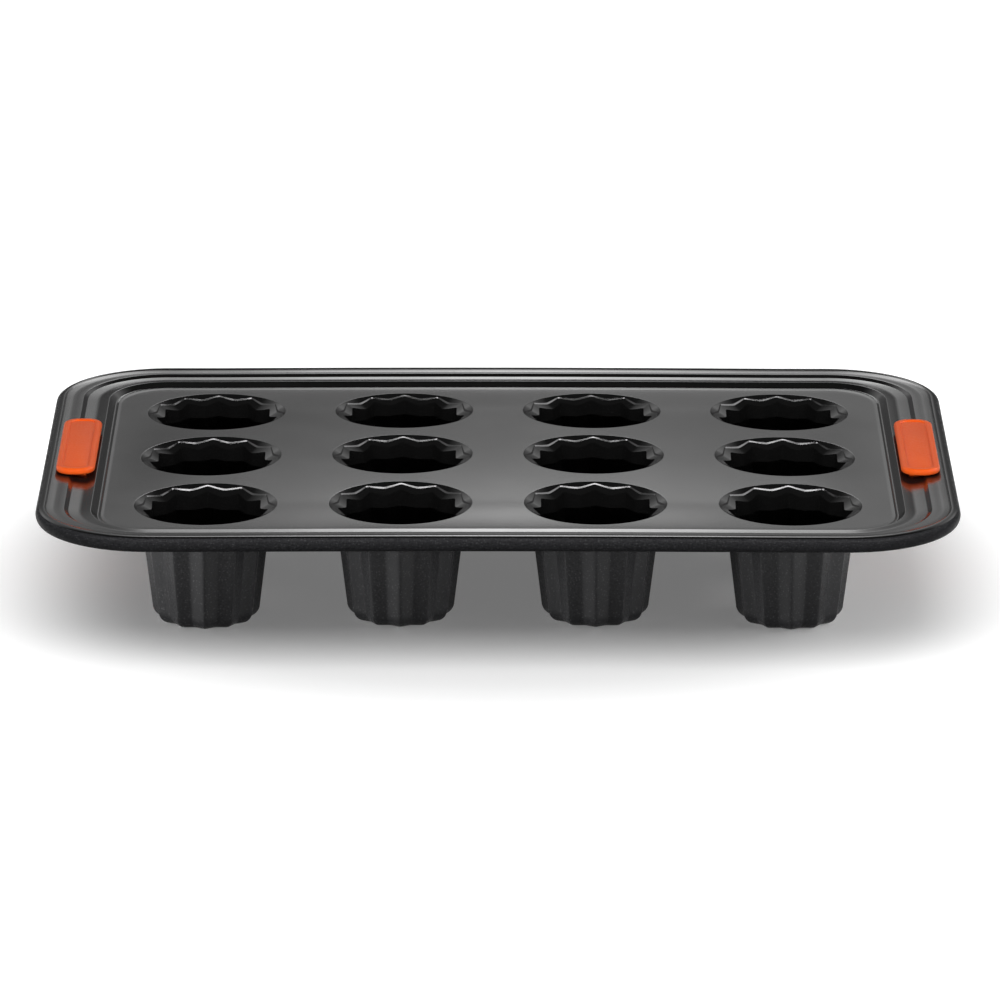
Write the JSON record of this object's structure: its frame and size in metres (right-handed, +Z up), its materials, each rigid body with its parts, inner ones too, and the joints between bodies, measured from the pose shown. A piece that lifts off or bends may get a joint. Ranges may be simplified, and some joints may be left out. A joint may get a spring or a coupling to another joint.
{
  "type": "canele pan",
  "caption": "Dark coated steel baking pan with deep fluted tapered cups in a grid, a stepped rim rolled round a wire, and an orange silicone grip in each side flange.",
  "frame": {"origin": "middle of the pan on the surface that it stands on", "axes": "+X along the long side, +Z up out of the cups, -Y towards the front"},
  "size_m": [0.4, 0.2754, 0.0575],
  "materials": {
    "tray_coating": "semi-gloss dark grey non-stick coating on steel",
    "cup_coating": "near-black non-stick coating, glossy inside and finely speckled outside",
    "wire_steel": "plain drawn steel wire",
    "grip_silicone": "satin orange silicone"
  },
  "bodies": {
    "root": {"tray_plate": "tray_coating", "rim_wire": "wire_steel", "cup_row1_column1": "cup_coating", "cup_row1_column2": "cup_coating", "cup_row1_column3": "cup_coating", "cup_row1_column4": "cup_coating", "cup_row2_column1": "cup_coating", "cup_row2_column2": "cup_coating", "cup_row2_column3": "cup_coating", "cup_row2_column4": "cup_coating", "cup_row3_column1": "cup_coating", "cup_row3_column2": "cup_coating", "cup_row3_column3": "cup_coating", "cup_row3_column4": "cup_coating", "grip_left": "grip_silicone", "grip_right": "grip_silicone"}
  },
  "joints": []
}
